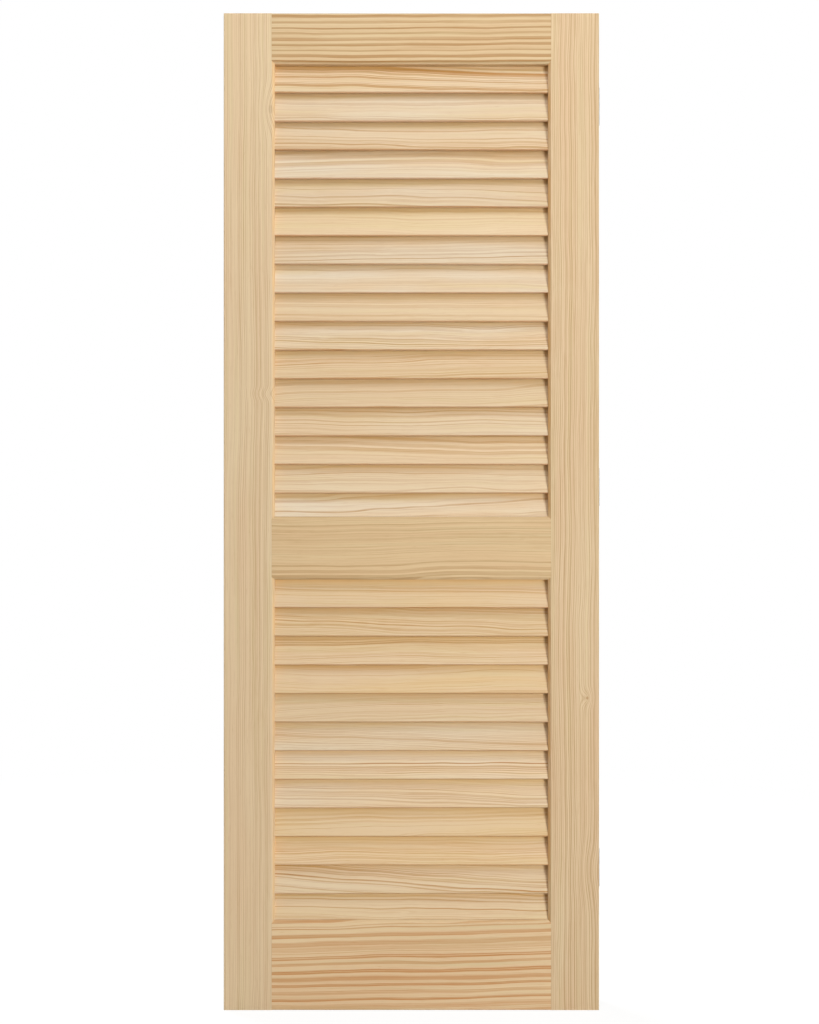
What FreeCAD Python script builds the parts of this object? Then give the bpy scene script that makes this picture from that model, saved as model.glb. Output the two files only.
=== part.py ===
import FreeCAD, Part
import math
import os

import Sketcher
from FreeCAD import Placement, Rotation, Vector

# A louvred pine bifold door, folded: two equal leaves back to back, hinged along one edge.
# Millimetres. X runs from the pivot edge to the hinge edge, -Y is the front, +Z is up.
# The origin is on the front leaf's pivot axis, at its bottom edge.

DIMENSIONS = {
    # one leaf
    "leaf_height": 2006.6,
    "leaf_width": 755.65,
    "leaf_thick": 35,
    "stile_width": 102,
    "top_rail_width": 101,
    "lock_rail_width": 127,
    "lock_rail_base": 866.5,
    "bottom_rail_width": 180.5,
    # moulded bevel round the louvre openings, and the eased outer edges
    "sticking_width": 5.5,
    "sticking_depth": 4.5,
    "arris": 1.2,
    # louvre slats and their housings in the stiles
    "slat_width": 63.5,
    "slat_thick": 7.5,
    "slat_round": 2.2,
    "slat_tilt": 16.5,
    "upper_slats": 16,
    "lower_slats": 12,
    "first_slat_drop": 56,
    "upper_last_dip": 9.4,
    "lower_last_dip": 4.7,
    "slat_trim_gap": 0.3,
    "housing_depth": 8,
    "housing_gap": 0.2,
    "slat_end_gap": 0.3,
    # dowels, two to each rail end
    "dowel_radius": 5,
    "dowel_half": 34,
    "dowel_gap": 0.1,
    "dowel_end_gap": 0.5,
    "dowel_edge": 30,
    # pivot bushes in the ends of the outer stiles
    "pivot_inset": 38,
    "bush_bore": 4.8,
    "bush_wall": 2.2,
    "bush_length": 40,
    "flange_radius": 10,
    "flange_thick": 2,
    "bush_gap": 0.05,
    # hinges on the meeting edges
    "edge_gap": 3.2,
    "fold_gap": 9,
    "barrel_radius": 4,
    "pin_radius": 2.25,
    "pin_gap": 0.05,
    "pin_head_radius": 3.4,
    "pin_head_thick": 1.6,
    "plate_thick": 1.8,
    "wing_height": 76,
    "wing_reach": 24,
    "wing_strip": 4,
    "inner_wing_height": 43,
    "nest_gap": 0.5,
    "top_hinge_drop": 178,
    "bottom_hinge_rise": 279,
    # hinge screws
    "screw_radius": 1.75,
    "screw_head_radius": 3.6,
    "screw_length": 25,
    "screw_gap": 0.05,
    "screw_end_gap": 0.5,
    "outer_screw_setback": 13,
    "outer_screw_end": 8,
    "inner_screw_setback": 9.5,
    "inner_screw_spread": 24,
}

doc = FreeCAD.newDocument("louvred_bifold_door")
sheet = doc.addObject("Spreadsheet::Sheet", "Size")
for row, (alias, number) in enumerate(DIMENSIONS.items(), start=1):
    sheet.set(f"A{row}", alias)
    sheet.set(f"B{row}", str(number))
    sheet.setAlias(f"B{row}", alias)
doc.recompute()

# Places worked out from the driving sizes, as expressions that the objects are bound to.
HALF_THICK = "Size.leaf_thick / 2"
LEFT_EDGE = "(-Size.pivot_inset)"
RIGHT_EDGE = "(Size.leaf_width - Size.pivot_inset)"
MIDDLE = "(Size.leaf_width / 2 - Size.pivot_inset)"
HALF_OPENING = "(Size.leaf_width / 2 - Size.stile_width)"
TOP_RAIL_BASE = "(Size.leaf_height - Size.top_rail_width)"
LOCK_RAIL_TOP = "(Size.lock_rail_base + Size.lock_rail_width)"
AXIS_X = f"({RIGHT_EDGE} + Size.edge_gap / 2)"
AXIS_Y = f"({HALF_THICK} + Size.fold_gap / 2)"
SLAT_LENGTH = f"(2 * ({HALF_OPENING} + Size.housing_depth - Size.slat_end_gap))"
# From a slat's lower front corner up to its middle.
CORNER_TO_MIDDLE = (
    "(Size.slat_width / 2 * cos(Size.slat_tilt) - Size.slat_thick / 2 * sin(Size.slat_tilt))"
)
OPENINGS = {
    "upper": (LOCK_RAIL_TOP, TOP_RAIL_BASE),
    "lower": ("Size.bottom_rail_width", "Size.lock_rail_base"),
}
HINGE_HEIGHTS = {
    "top": "(Size.leaf_height - Size.top_hinge_drop)",
    "middle": "((Size.leaf_height - Size.top_hinge_drop + Size.bottom_hinge_rise) / 2)",
    "bottom": "(Size.bottom_hinge_rise)",
}
RAILS = {
    "top_rail": (TOP_RAIL_BASE, "Size.top_rail_width"),
    "lock_rail": ("Size.lock_rail_base", "Size.lock_rail_width"),
    "bottom_rail": ("0", "Size.bottom_rail_width"),
}

nodes = []


def worth(expression):
    """The number that an expression has now."""
    return float(sheet.evalExpression(expression))


def bind(target, **expressions):
    """Bind properties of an object to expressions; __ in a key stands for a dot."""
    for key, expression in expressions.items():
        target.setExpression(key.replace("__", "."), expression)
    return target


def node(target, label):
    """Name a finished piece, which is then written out under that name."""
    target.Label = label
    nodes.append(target)
    return target


def slat_pitch(opening):
    """Step between slats: the first hangs below the upper rail, and the last dips past the lower one."""
    low, high = OPENINGS[opening]
    fall = f"{high} - {low} - Size.first_slat_drop + Size.{opening}_last_dip"
    return f"(({fall}) / (Size.{opening}_slats - 1))"


def slat_middle(opening, index):
    """Height of the middle of one slat of an opening, counted down from 0."""
    high = OPENINGS[opening][1]
    return f"({high} - Size.first_slat_drop - {index} * {slat_pitch(opening)} + {CORNER_TO_MIDDLE})"


def dowel_heights(rail):
    """Heights of the two dowels in each end of a rail."""
    base, width = RAILS[rail]
    return [f"({base} + Size.dowel_edge)", f"({base} + {width} - Size.dowel_edge)"]


def new_body(name):
    return doc.addObject("PartDesign::Body", name)


def origin_feature(body, role):
    return next(item for item in body.Origin.OriginFeatures if item.Role == role)


def new_sketch(body, plane):
    """A sketch on one of the body's own origin planes."""
    sketch = body.newObject("Sketcher::SketchObject", body.Name + "_sketch")
    sketch.AttachmentSupport = [(origin_feature(body, plane), "")]
    sketch.MapMode = "FlatFace"
    return sketch


def fix_point(sketch, geometry, point, x, y):
    """Hold a point of a sketch at two expressions, measured from the sketch's origin."""
    for kind, expression in (("DistanceX", x), ("DistanceY", y)):
        index = sketch.addConstraint(
            Sketcher.Constraint(kind, -1, 1, geometry, point, worth(expression))
        )
        sketch.setExpression(f"Constraints[{index}]", expression)


def draw_polygon(sketch, corners):
    """A closed outline whose corners are pairs of expressions."""
    points = [Vector(worth(x), worth(y), 0) for x, y in corners]
    first = sketch.GeometryCount
    count = len(points)
    for index in range(count):
        sketch.addGeometry(Part.LineSegment(points[index], points[(index + 1) % count]))
    for index, (x, y) in enumerate(corners):
        before = first + (index - 1) % count
        sketch.addConstraint(Sketcher.Constraint("Coincident", before, 2, first + index, 1))
        fix_point(sketch, first + index, 1, x, y)


def draw_circle(sketch, x, y, radius):
    circle = Part.Circle(Vector(worth(x), worth(y), 0), Vector(0, 0, 1), worth(radius))
    index = sketch.addGeometry(circle)
    fix_point(sketch, index, 3, x, y)
    held = sketch.addConstraint(Sketcher.Constraint("Radius", index, worth(radius)))
    sketch.setExpression(f"Constraints[{held}]", radius)


def draw_slat_section(sketch, gap):
    """A slat's section with rounded edges, upright on the sketch's origin, grown by a gap."""
    across = "(Size.slat_thick / 2 - Size.slat_round)"
    up = "(Size.slat_width / 2 - Size.slat_round)"
    radius = f"(Size.slat_round + {gap})"
    corners = [(1, 1), (-1, 1), (-1, -1), (1, -1)]
    for turn, (side, level) in enumerate(corners):
        centre = Vector(side * worth(across), level * worth(up), 0)
        circle = Part.Circle(centre, Vector(0, 0, 1), worth(radius))
        start = math.radians(90 * turn)
        arc = sketch.addGeometry(Part.ArcOfCircle(circle, start, start + math.radians(90)))
        fix_point(sketch, arc, 3, f"{side} * {across}", f"{level} * {up}")
        held = sketch.addConstraint(Sketcher.Constraint("Radius", arc, worth(radius)))
        sketch.setExpression(f"Constraints[{held}]", radius)
    for arc in range(len(corners)):
        following = (arc + 1) % len(corners)
        side = Part.LineSegment(sketch.getPoint(arc, 2), sketch.getPoint(following, 1))
        line = sketch.addGeometry(side)
        sketch.addConstraint(Sketcher.Constraint("Tangent", arc, 2, line, 1))
        sketch.addConstraint(Sketcher.Constraint("Tangent", line, 2, following, 1))


def pad(body, sketch, length, side_type="One side"):
    feature = body.newObject("PartDesign::Pad", body.Name + "_pad")
    feature.Profile = sketch
    feature.SideType = side_type
    return bind(feature, Length=length)


def pocket(body, sketch, depth, reverse=False):
    """A cut from the sketch against its normal, or along it when reversed."""
    feature = body.newObject("PartDesign::Pocket", body.Name + "_pocket")
    feature.Profile = sketch
    feature.Reversed = reverse
    if depth is None:
        feature.Type = "ThroughAll"
    else:
        bind(feature, Length=depth)
    return feature


def mirror_features(body, features, plane):
    mirrored = body.newObject("PartDesign::Mirrored", body.Name + "_mirrored")
    mirrored.Originals = features
    mirrored.MirrorPlane = (origin_feature(body, plane), [""])
    body.Tip = mirrored


def column(body, feature, count, step):
    """Repeat a feature downwards."""
    pattern = body.newObject("PartDesign::LinearPattern", body.Name + "_column")
    pattern.Originals = [feature]
    pattern.Direction = (origin_feature(body, "Z_Axis"), [""])
    pattern.Reversed = True
    pattern.Mode = "Spacing"
    bind(pattern, Offset=step, Occurrences=count)
    body.Tip = pattern


def make_stile(name, outer, inward):
    """A full-height upright; inward is 1 where its inner edge faces +X, and -1 where it faces -X."""
    body = new_body(name)
    inner = f"({outer} + {inward} * Size.stile_width)"
    eased = f"({outer} + {inward} * Size.arris)"
    moulded = f"({inner} - {inward} * Size.sticking_width)"
    outline = new_sketch(body, "XY_Plane")
    draw_polygon(outline, [
        (outer, f"-({HALF_THICK} - Size.arris)"),
        (eased, f"-({HALF_THICK})"),
        (moulded, f"-({HALF_THICK})"),
        (inner, f"-({HALF_THICK} - Size.sticking_depth)"),
        (inner, f"{HALF_THICK} - Size.sticking_depth"),
        (moulded, HALF_THICK),
        (eased, HALF_THICK),
        (outer, f"{HALF_THICK} - Size.arris"),
    ])
    pad(body, outline, "Size.leaf_height")

    for opening in OPENINGS:
        housing = new_sketch(body, "YZ_Plane")
        draw_slat_section(housing, "Size.housing_gap")
        housing.AttachmentOffset = Placement(Vector(), Rotation(Vector(0, 0, 1), -1))
        bind(
            housing,
            AttachmentOffset__Base__y=slat_middle(opening, 0),
            AttachmentOffset__Base__z=inner,
            AttachmentOffset__Rotation__Angle="-Size.slat_tilt",
        )
        cut = pocket(body, housing, "Size.housing_depth", inward < 0)
        column(body, cut, f"Size.{opening}_slats", slat_pitch(opening))

    holes = new_sketch(body, "YZ_Plane")
    for rail in RAILS:
        for height in dowel_heights(rail):
            draw_circle(holes, "0", height, "Size.dowel_radius + Size.dowel_gap")
    bind(holes, AttachmentOffset__Base__z=inner)
    pocket(body, holes, "Size.dowel_half + Size.dowel_end_gap", inward < 0)
    return body


def bore_pivot_holes(body):
    """Stepped holes for the flanged bushes, up from the bottom and down from the top."""
    for height, upwards in (("0", True), ("Size.leaf_height", False)):
        for radius, depth in (
            ("Size.flange_radius + Size.bush_gap", "Size.flange_thick"),
            ("Size.bush_bore + Size.bush_wall + Size.bush_gap", "Size.bush_length"),
        ):
            mouth = new_sketch(body, "XY_Plane")
            draw_circle(mouth, "0", "0", radius)
            bind(mouth, AttachmentOffset__Base__z=height)
            pocket(body, mouth, depth, upwards)


def make_rail(rail):
    """A cross rail: moulded where it borders an opening, coped over the stiles' moulding."""
    base, width = RAILS[rail]
    moulded_below = rail != "bottom_rail"
    moulded_above = rail != "top_rail"
    across_low = "Size.sticking_depth" if moulded_below else "Size.arris"
    up_low = "Size.sticking_width" if moulded_below else "Size.arris"
    across_high = "Size.sticking_depth" if moulded_above else "Size.arris"
    up_high = "Size.sticking_width" if moulded_above else "Size.arris"
    body = new_body("front_" + rail)
    section = new_sketch(body, "YZ_Plane")
    draw_polygon(section, [
        (f"-({HALF_THICK} - {across_low})", "0"),
        (f"{HALF_THICK} - {across_low}", "0"),
        (HALF_THICK, up_low),
        (HALF_THICK, f"{width} - {up_high}"),
        (f"{HALF_THICK} - {across_high}", width),
        (f"-({HALF_THICK} - {across_high})", width),
        (f"-({HALF_THICK})", f"{width} - {up_high}"),
        (f"-({HALF_THICK})", up_low),
    ])
    pad(body, section, f"2 * ({HALF_OPENING} + Size.sticking_width)", "Symmetric")

    cope = new_sketch(body, "XY_Plane")
    shoulder = f"{HALF_OPENING} + Size.sticking_width"
    draw_polygon(cope, [
        (shoulder, f"-({HALF_THICK})"),
        (shoulder, HALF_THICK),
        (HALF_OPENING, f"{HALF_THICK} - Size.sticking_depth"),
        (HALF_OPENING, f"-({HALF_THICK} - Size.sticking_depth)"),
    ])
    coped = pocket(body, cope, None, True)

    holes = new_sketch(body, "YZ_Plane")
    for height in ("Size.dowel_edge", f"{width} - Size.dowel_edge"):
        draw_circle(holes, "0", height, "Size.dowel_radius + Size.dowel_gap")
    bind(holes, AttachmentOffset__Base__z=HALF_OPENING)
    drilled = pocket(body, holes, "Size.dowel_half + Size.dowel_end_gap")
    mirror_features(body, [coped, drilled], "YZ_Plane")
    bind(body, Placement__Base__x=MIDDLE, Placement__Base__z=base)
    return body


def make_slat(opening, index, last):
    """One fixed louvre slat; the end ones of an opening are ripped to meet its rails."""
    label = f"front_{opening}_slat_{index + 1:02d}"
    body = new_body(label)
    section = new_sketch(body, "YZ_Plane")
    draw_slat_section(section, "0")
    section.AttachmentOffset = Placement(Vector(), Rotation(Vector(0, 0, 1), -1))
    bind(section, AttachmentOffset__Rotation__Angle="-Size.slat_tilt")
    pad(body, section, SLAT_LENGTH, "Symmetric")
    bind(body, Placement__Base__x=MIDDLE, Placement__Base__z=slat_middle(opening, index))
    if 0 < index < last:
        return body, label
    low, high = OPENINGS[opening]
    body.Label = label + "_blank"
    space = doc.addObject("Part::Box", label + "_space")
    bind(
        space,
        Length=SLAT_LENGTH,
        Width="Size.leaf_thick",
        Height=f"{high} - {low} - 2 * Size.slat_trim_gap",
        Placement__Base__x=f"{MIDDLE} - {SLAT_LENGTH} / 2",
        Placement__Base__y=f"-({HALF_THICK})",
        Placement__Base__z=f"{low} + Size.slat_trim_gap",
    )
    ripped = doc.addObject("Part::Common", label + "_ripped")
    ripped.Base = body
    ripped.Tool = space
    return ripped, label


def make_group(label, pieces):
    group = doc.addObject("Part::Compound", label)
    group.Links = pieces
    return group


def make_dowels():
    pieces = []
    for rail in RAILS:
        for height in dowel_heights(rail):
            for side in (-1, 1):
                dowel = doc.addObject("Part::Cylinder", "dowel")
                dowel.Placement = Placement(Vector(), Rotation(Vector(0, 1, 0), 90))
                bind(
                    dowel,
                    Radius="Size.dowel_radius",
                    Height="2 * Size.dowel_half",
                    Placement__Base__x=f"{MIDDLE} + {side} * {HALF_OPENING} - Size.dowel_half",
                    Placement__Base__z=height,
                )
                pieces.append(dowel)
    return make_group("front_dowel_group", pieces)


def make_bush(label, at_top, depth):
    """A flanged bush, flush with the end of a stile, whose bore takes a pivot pin."""
    body = new_body(label)
    outer = "Size.bush_bore + Size.bush_wall"
    section = new_sketch(body, "XZ_Plane")
    draw_polygon(section, [
        ("Size.bush_bore", "0"),
        ("Size.flange_radius", "0"),
        ("Size.flange_radius", "-Size.flange_thick"),
        (outer, "-Size.flange_thick"),
        (outer, "-Size.bush_length"),
        ("Size.bush_bore", "-Size.bush_length"),
    ])
    turned = body.newObject("PartDesign::Revolution", body.Name + "_turned")
    turned.Profile = section
    turned.ReferenceAxis = (origin_feature(body, "Z_Axis"), [""])
    turned.Angle = 360
    if not at_top:
        body.Placement = Placement(Vector(), Rotation(Vector(1, 0, 0), 180))
    bind(body, Placement__Base__y=depth, Placement__Base__z="Size.leaf_height" if at_top else "0")
    return body


# Hinges. Each is worked out about its own pin: x = 0 and y = 0 on the pin, z = 0 at mid height.
EDGE_FACE = "(-Size.edge_gap / 2)"
PLATE_FACE = "(Size.plate_thick - Size.edge_gap / 2)"
OUTER_SCREW_Y = "(-Size.fold_gap / 2 - Size.outer_screw_setback)"
INNER_SCREW_Y = "(Size.fold_gap / 2 + Size.inner_screw_setback)"
WINDOW_HALF = "(Size.inner_wing_height / 2 + Size.nest_gap)"
INNER_REACH = "(Size.wing_reach - Size.wing_strip - Size.nest_gap)"
OUTER_SCREWS = [f"{sign} * (Size.wing_height / 2 - Size.outer_screw_end)" for sign in (1, -1)]
INNER_SCREWS = [f"{sign} * Size.inner_screw_spread / 2" for sign in (1, -1)]


def make_box(low, high):
    """A box between two corners given as expressions."""
    box = doc.addObject("Part::Box", "hinge_plate")
    return bind(
        box,
        Length=f"({high[0]}) - ({low[0]})",
        Width=f"({high[1]}) - ({low[1]})",
        Height=f"({high[2]}) - ({low[2]})",
        Placement__Base__x=low[0],
        Placement__Base__y=low[1],
        Placement__Base__z=low[2],
    )


def make_upright(radius, low, high):
    """A round bar along the pin's line."""
    bar = doc.addObject("Part::Cylinder", "hinge_round")
    return bind(bar, Radius=radius, Height=f"({high}) - ({low})", Placement__Base__z=low)


def make_screw_cone(y, z, gap):
    """The countersunk head's cone, narrow end on the wood."""
    cone = doc.addObject("Part::Cone", "screw_cone")
    cone.Placement = Placement(Vector(), Rotation(Vector(0, 1, 0), 90))
    return bind(
        cone,
        Radius1=f"Size.screw_radius + {gap}",
        Radius2=f"Size.screw_head_radius + {gap}",
        Height="Size.plate_thick",
        Placement__Base__x=EDGE_FACE,
        Placement__Base__y=y,
        Placement__Base__z=z,
    )


def make_shank(y, z, radius, length):
    """A round bar from the leaf's edge into the wood."""
    shank = doc.addObject("Part::Cylinder", "screw_shank")
    shank.Placement = Placement(Vector(), Rotation(Vector(0, 1, 0), -90))
    return bind(
        shank,
        Radius=radius,
        Height=length,
        Placement__Base__x=EDGE_FACE,
        Placement__Base__y=y,
        Placement__Base__z=z,
    )


def fuse(pieces):
    joined = doc.addObject("Part::MultiFuse", "joined")
    joined.Shapes = pieces
    joined.Refine = True
    return joined


def cut_away(base, tools):
    cut = doc.addObject("Part::Cut", "cut")
    cut.Base = base
    cut.Tool = tools[0] if len(tools) == 1 else make_group("tools", tools)
    return cut


def at_hinge(piece, height):
    """Stand a hinge piece on the fold line."""
    return bind(piece, Placement__Base__x=AXIS_X, Placement__Base__y=AXIS_Y, Placement__Base__z=height)


def make_outer_wing():
    """The front leaf's plate: a C with a knuckle at each end and a window for the other plate."""
    half = "Size.wing_height / 2"
    plate = make_box((EDGE_FACE, "-Size.wing_reach", f"-{half}"), (PLATE_FACE, "0", half))
    window = make_box(
        (f"{EDGE_FACE} - Size.plate_thick", "Size.wing_strip - Size.wing_reach", f"-{WINDOW_HALF}"),
        (f"{PLATE_FACE} + Size.plate_thick", "Size.barrel_radius", WINDOW_HALF),
    )
    knuckles = [
        make_upright("Size.barrel_radius", WINDOW_HALF, half),
        make_upright("Size.barrel_radius", f"-{half}", f"-{WINDOW_HALF}"),
    ]
    bore = make_upright("Size.pin_radius + Size.pin_gap", f"-{half}", half)
    countersinks = [make_screw_cone(OUTER_SCREW_Y, z, "Size.screw_gap") for z in OUTER_SCREWS]
    solid = fuse([cut_away(plate, [window])] + knuckles)
    return cut_away(solid, [bore] + countersinks)


def make_inner_wing():
    """The rear leaf's plate, with the middle knuckle; it nests in the other plate's window."""
    half = "Size.inner_wing_height / 2"
    plate = make_box((EDGE_FACE, "0", f"-{half}"), (PLATE_FACE, INNER_REACH, half))
    knuckle = make_upright("Size.barrel_radius", f"-{half}", half)
    bore = make_upright("Size.pin_radius + Size.pin_gap", f"-{half}", half)
    countersinks = [make_screw_cone(INNER_SCREW_Y, z, "Size.screw_gap") for z in INNER_SCREWS]
    return cut_away(fuse([plate, knuckle]), [bore] + countersinks)


def make_pin(label):
    """A hinge pin with a flat button at each end of the barrel."""
    body = new_body(label)
    half = "Size.wing_height / 2"
    end = f"{half} + Size.pin_head_thick"
    section = new_sketch(body, "XZ_Plane")
    draw_polygon(section, [
        ("0", f"-({end})"),
        ("Size.pin_head_radius", f"-({end})"),
        ("Size.pin_head_radius", f"-{half}"),
        ("Size.pin_radius", f"-{half}"),
        ("Size.pin_radius", half),
        ("Size.pin_head_radius", half),
        ("Size.pin_head_radius", end),
        ("0", end),
    ])
    turned = body.newObject("PartDesign::Revolution", body.Name + "_turned")
    turned.Profile = section
    turned.ReferenceAxis = (origin_feature(body, "Z_Axis"), [""])
    turned.Angle = 360
    return body


def make_screws(label, y, heights):
    """The countersunk screws of one leaf's plates, all three hinges."""
    pieces = []
    for hinge in HINGE_HEIGHTS.values():
        for height in heights:
            length = "Size.screw_length - Size.plate_thick"
            screw = fuse([
                make_screw_cone(y, height, "0"),
                make_shank(y, height, "Size.screw_radius", length),
            ])
            pieces.append(at_hinge(screw, hinge))
    return make_group(label + "_group", pieces)


def drill_for_screws(stile, y, heights):
    """Cut the pilot holes of the hinge screws in a stile."""
    drills = []
    for hinge in HINGE_HEIGHTS.values():
        for height in heights:
            drill = make_shank(
                y,
                height,
                "Size.screw_radius + Size.screw_gap",
                "Size.screw_length - Size.plate_thick + Size.screw_end_gap",
            )
            bind(
                drill,
                Placement__Base__x=RIGHT_EDGE,
                Placement__Base__y=f"{AXIS_Y} + {y}",
                Placement__Base__z=f"{hinge} + {height}",
            )
            drills.append(drill)
    return cut_away(stile, drills)


def mirrored(source):
    """The rear leaf's twin of a front piece, reflected in the plane of the fold."""
    twin = doc.addObject("Part::Mirroring", "twin")
    twin.Source = source
    twin.Normal = Vector(0, 1, 0)
    return bind(twin, Base__y=AXIS_Y)


# The front leaf, and the rear leaf as its reflection.
pivot_stile = make_stile("pivot_stile", LEFT_EDGE, 1)
bore_pivot_holes(pivot_stile)
hinge_stile = make_stile("hinge_stile", RIGHT_EDGE, -1)
node(pivot_stile, "front_pivot_stile")
node(mirrored(pivot_stile), "rear_pivot_stile")
node(drill_for_screws(hinge_stile, OUTER_SCREW_Y, OUTER_SCREWS), "front_hinge_stile")
node(drill_for_screws(mirrored(hinge_stile), INNER_SCREW_Y, INNER_SCREWS), "rear_hinge_stile")

for rail in RAILS:
    front_rail = make_rail(rail)
    node(front_rail, "front_" + rail)
    node(mirrored(front_rail), "rear_" + rail)

for opening in OPENINGS:
    count = int(worth(f"Size.{opening}_slats"))
    slats = []
    for index in range(count):
        slat, label = make_slat(opening, index, count - 1)
        slats.append(node(slat, label))
    node(mirrored(make_group(opening + "_slat_group", slats)), f"rear_{opening}_slats")

front_dowels = make_dowels()
node(front_dowels, "front_dowels")
node(mirrored(front_dowels), "rear_dowels")

for leaf, depth in (("front", "0"), ("rear", f"2 * {AXIS_Y}")):
    node(make_bush(leaf + "_top_bush", True, depth), leaf + "_top_bush")
    node(make_bush(leaf + "_bottom_bush", False, depth), leaf + "_bottom_bush")

for place, height in HINGE_HEIGHTS.items():
    node(at_hinge(make_outer_wing(), height), place + "_hinge_front_wing")
    node(at_hinge(make_inner_wing(), height), place + "_hinge_rear_wing")
    node(at_hinge(make_pin(place + "_pin"), height), place + "_hinge_pin")

node(make_screws("front", OUTER_SCREW_Y, OUTER_SCREWS), "front_hinge_screws")
node(make_screws("rear", INNER_SCREW_Y, INNER_SCREWS), "rear_hinge_screws")

doc.recompute()

failed = [item.Name for item in doc.Objects if {"Invalid", "Error"} & set(item.State)]
failed += [item.Label for item in nodes if item.Shape.isNull() or not item.Shape.isValid()]
if failed:
    raise RuntimeError("not built: " + ", ".join(failed))

os.makedirs("parts", exist_ok=True)
for item in nodes:
    item.Shape.exportStep(f"parts/{item.Label}.step")
print(len(nodes), "pieces")
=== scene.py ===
import math
import random

import bpy
from mathutils import Matrix, Vector


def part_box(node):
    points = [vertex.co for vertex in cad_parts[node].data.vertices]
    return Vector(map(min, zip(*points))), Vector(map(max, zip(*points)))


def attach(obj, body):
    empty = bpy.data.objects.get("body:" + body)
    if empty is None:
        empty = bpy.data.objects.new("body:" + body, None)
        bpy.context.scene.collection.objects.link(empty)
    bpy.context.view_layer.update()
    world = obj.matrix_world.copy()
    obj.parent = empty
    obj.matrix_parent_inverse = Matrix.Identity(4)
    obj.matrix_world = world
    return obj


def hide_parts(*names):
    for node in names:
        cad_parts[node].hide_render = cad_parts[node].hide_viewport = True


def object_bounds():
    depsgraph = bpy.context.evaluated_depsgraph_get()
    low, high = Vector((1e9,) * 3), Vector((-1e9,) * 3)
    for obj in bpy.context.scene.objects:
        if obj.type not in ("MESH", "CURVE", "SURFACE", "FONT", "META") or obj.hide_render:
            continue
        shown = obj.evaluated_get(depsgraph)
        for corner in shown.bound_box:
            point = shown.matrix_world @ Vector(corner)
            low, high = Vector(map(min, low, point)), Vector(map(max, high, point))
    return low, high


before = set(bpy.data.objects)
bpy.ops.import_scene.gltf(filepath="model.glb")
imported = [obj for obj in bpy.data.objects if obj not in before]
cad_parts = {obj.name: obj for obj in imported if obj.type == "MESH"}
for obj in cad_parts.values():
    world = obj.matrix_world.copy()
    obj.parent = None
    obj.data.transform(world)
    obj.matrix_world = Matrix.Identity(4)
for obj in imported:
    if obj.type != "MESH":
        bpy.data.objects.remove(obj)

cad_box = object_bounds()
random.seed(24)

# Sizes of the louvre slats, the hinges and their screws, in metres.
SLAT_WIDTH = 0.0635
SLAT_THICK = 0.0075
SLAT_ROUND = 0.0025
SLAT_TILT = math.radians(16.5)
SLAT_CUTS = 23
SLAT_BEVELS = 5
LONG_EDGE = 0.1
TRIM_GAP = 0.0003
HINGE_BARREL = 0.004
WING_EDGE = 0.0238
WING_RUB = 0.0012
SCREW_SPREAD = {"front": 0.030, "rear": 0.012}
SCREW_SIDES = 48
SCREW_HEAD = 0.0036
SCREW_SHANK = 0.00175
SCREW_LENGTH = 0.025
SCREW_POINT = 0.006
POINT_TAPER = 0.15
HEAD_DEPTH = 0.0018
RECESS_WIDTH = 0.0011
RECESS_REACH = 0.0021
RECESS_DEPTH = 0.0012
RECESS_TAPER = (1, 0.3, 0.6)
SMOOTH_ANGLE = math.radians(30)

# How far from an edge or a joint the wood's colour changes, in metres, and how strongly; on the slats this
# includes painted shade under each lap and along each lower edge.
SHOULDER_LINE = 0.0007
SHOULDER_SHARE = 0.4
EDGE_REACH = 0.004
WORN_SHARE = 0.35
# Painted shade across the top of each slat, where the slat above laps over it.
LAP_SHADE_REACH = 0.024
LAP_SHADE_SHARE = 0.42
# Painted shade along each slat's rounded lower edge: how far it reaches, where it is full, and how strong
# it is.
EDGE_SHADE_REACH = 0.0014
EDGE_SHADE_CORE = 0.4
EDGE_SHADE_SHARE = 0.34
MOULDING_WIDTH = 0.0055
KNOT_CORE = (0.93, 0.985)

# The wood's gloss and relief: its roughness, what late wood, wear and fibres change in it, and its bump.
PINE_ROUGH = 0.66
LATE_GLOSS = 0.10
WORN_GLOSS = 0.15
FIBRE_ROUGH = 0.2
LATE_RELIEF = 0.6
PINE_BUMP = 0.12
PINE_RELIEF = 0.0004

# The rings in the log: how quickly good and poor years follow each other, and where in a year the late
# wood starts at the latest and peaks.
YEAR_RATE = 42.0
LATE_START = 0.3
LATE_PEAK = 0.64

# How far a slat may be out of true: bow and crook as bends, twist and skew, all in degrees.
SLAT_BOW = 0.55
SLAT_CROOK = 0.22
SLAT_TWIST = 0.45
SLAT_SKEW = 0.06

# The slats' wood: where in the log they are cut, in metres, how far their grain slopes, and their rings per
# metre, contrast and tone.
LOG_LENGTH = 8
PITH_ACROSS = (0.06, 0.24)
PITH_DEEP = (0.04, 0.10)
GRAIN_SLOPE = 0.02
SLAT_RINGS = (85, 165)
SLAT_CONTRAST = (0.5, 0.96)
WARM_CONTRAST = 0.6
SLAT_TONE = (1.02, 1.12)

# The camera stands square to the door; the photograph's frame is 819 by 1024.
FRAME_HIGH = 1024
DOOR_PIXELS_HIGH = 996.9
CAMERA_DISTANCE = 3.2
CAMERA_X = 0.336
CAMERA_Z = 1.0027
SENSOR = 36

# The studio: the door's middle, the light from all round, and the floor's tones and shadow reach.
DOOR_MIDDLE = Vector((0.34, 0, 1.0))
AMBIENT = 0.36
AMBIENT_TINT = (1.0, 0.955, 0.83, 1)
FLOOR_SIZE = 60
FLOOR_BOUNCE = (0.4, 0.4, 0.4, 1)
FLOOR_SEEN = (0.12, 0.12, 0.12, 1)
FLOOR_GLOW = 0.92
SHADOW_NEAR = 0.8
SHADOW_FAR = 3.0

# Each opening: the rails below and above, how many slats, and how warm their wood may be.
OPENINGS = {
    "upper": ("lock_rail", "top_rail", 16, (0.0, 0.7)),
    "lower": ("bottom_rail", "lock_rail", 12, (0.2, 0.82)),
}

# Turns from the door's axes to a board's own: X along the grain, Y across the face, Z out of it.
UPRIGHT_GRAIN = Matrix(((0, 0, 1), (1, 0, 0), (0, 1, 0)))
LEVEL_GRAIN = Matrix(((1, 0, 0), (0, 0, 1), (0, -1, 0)))


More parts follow.
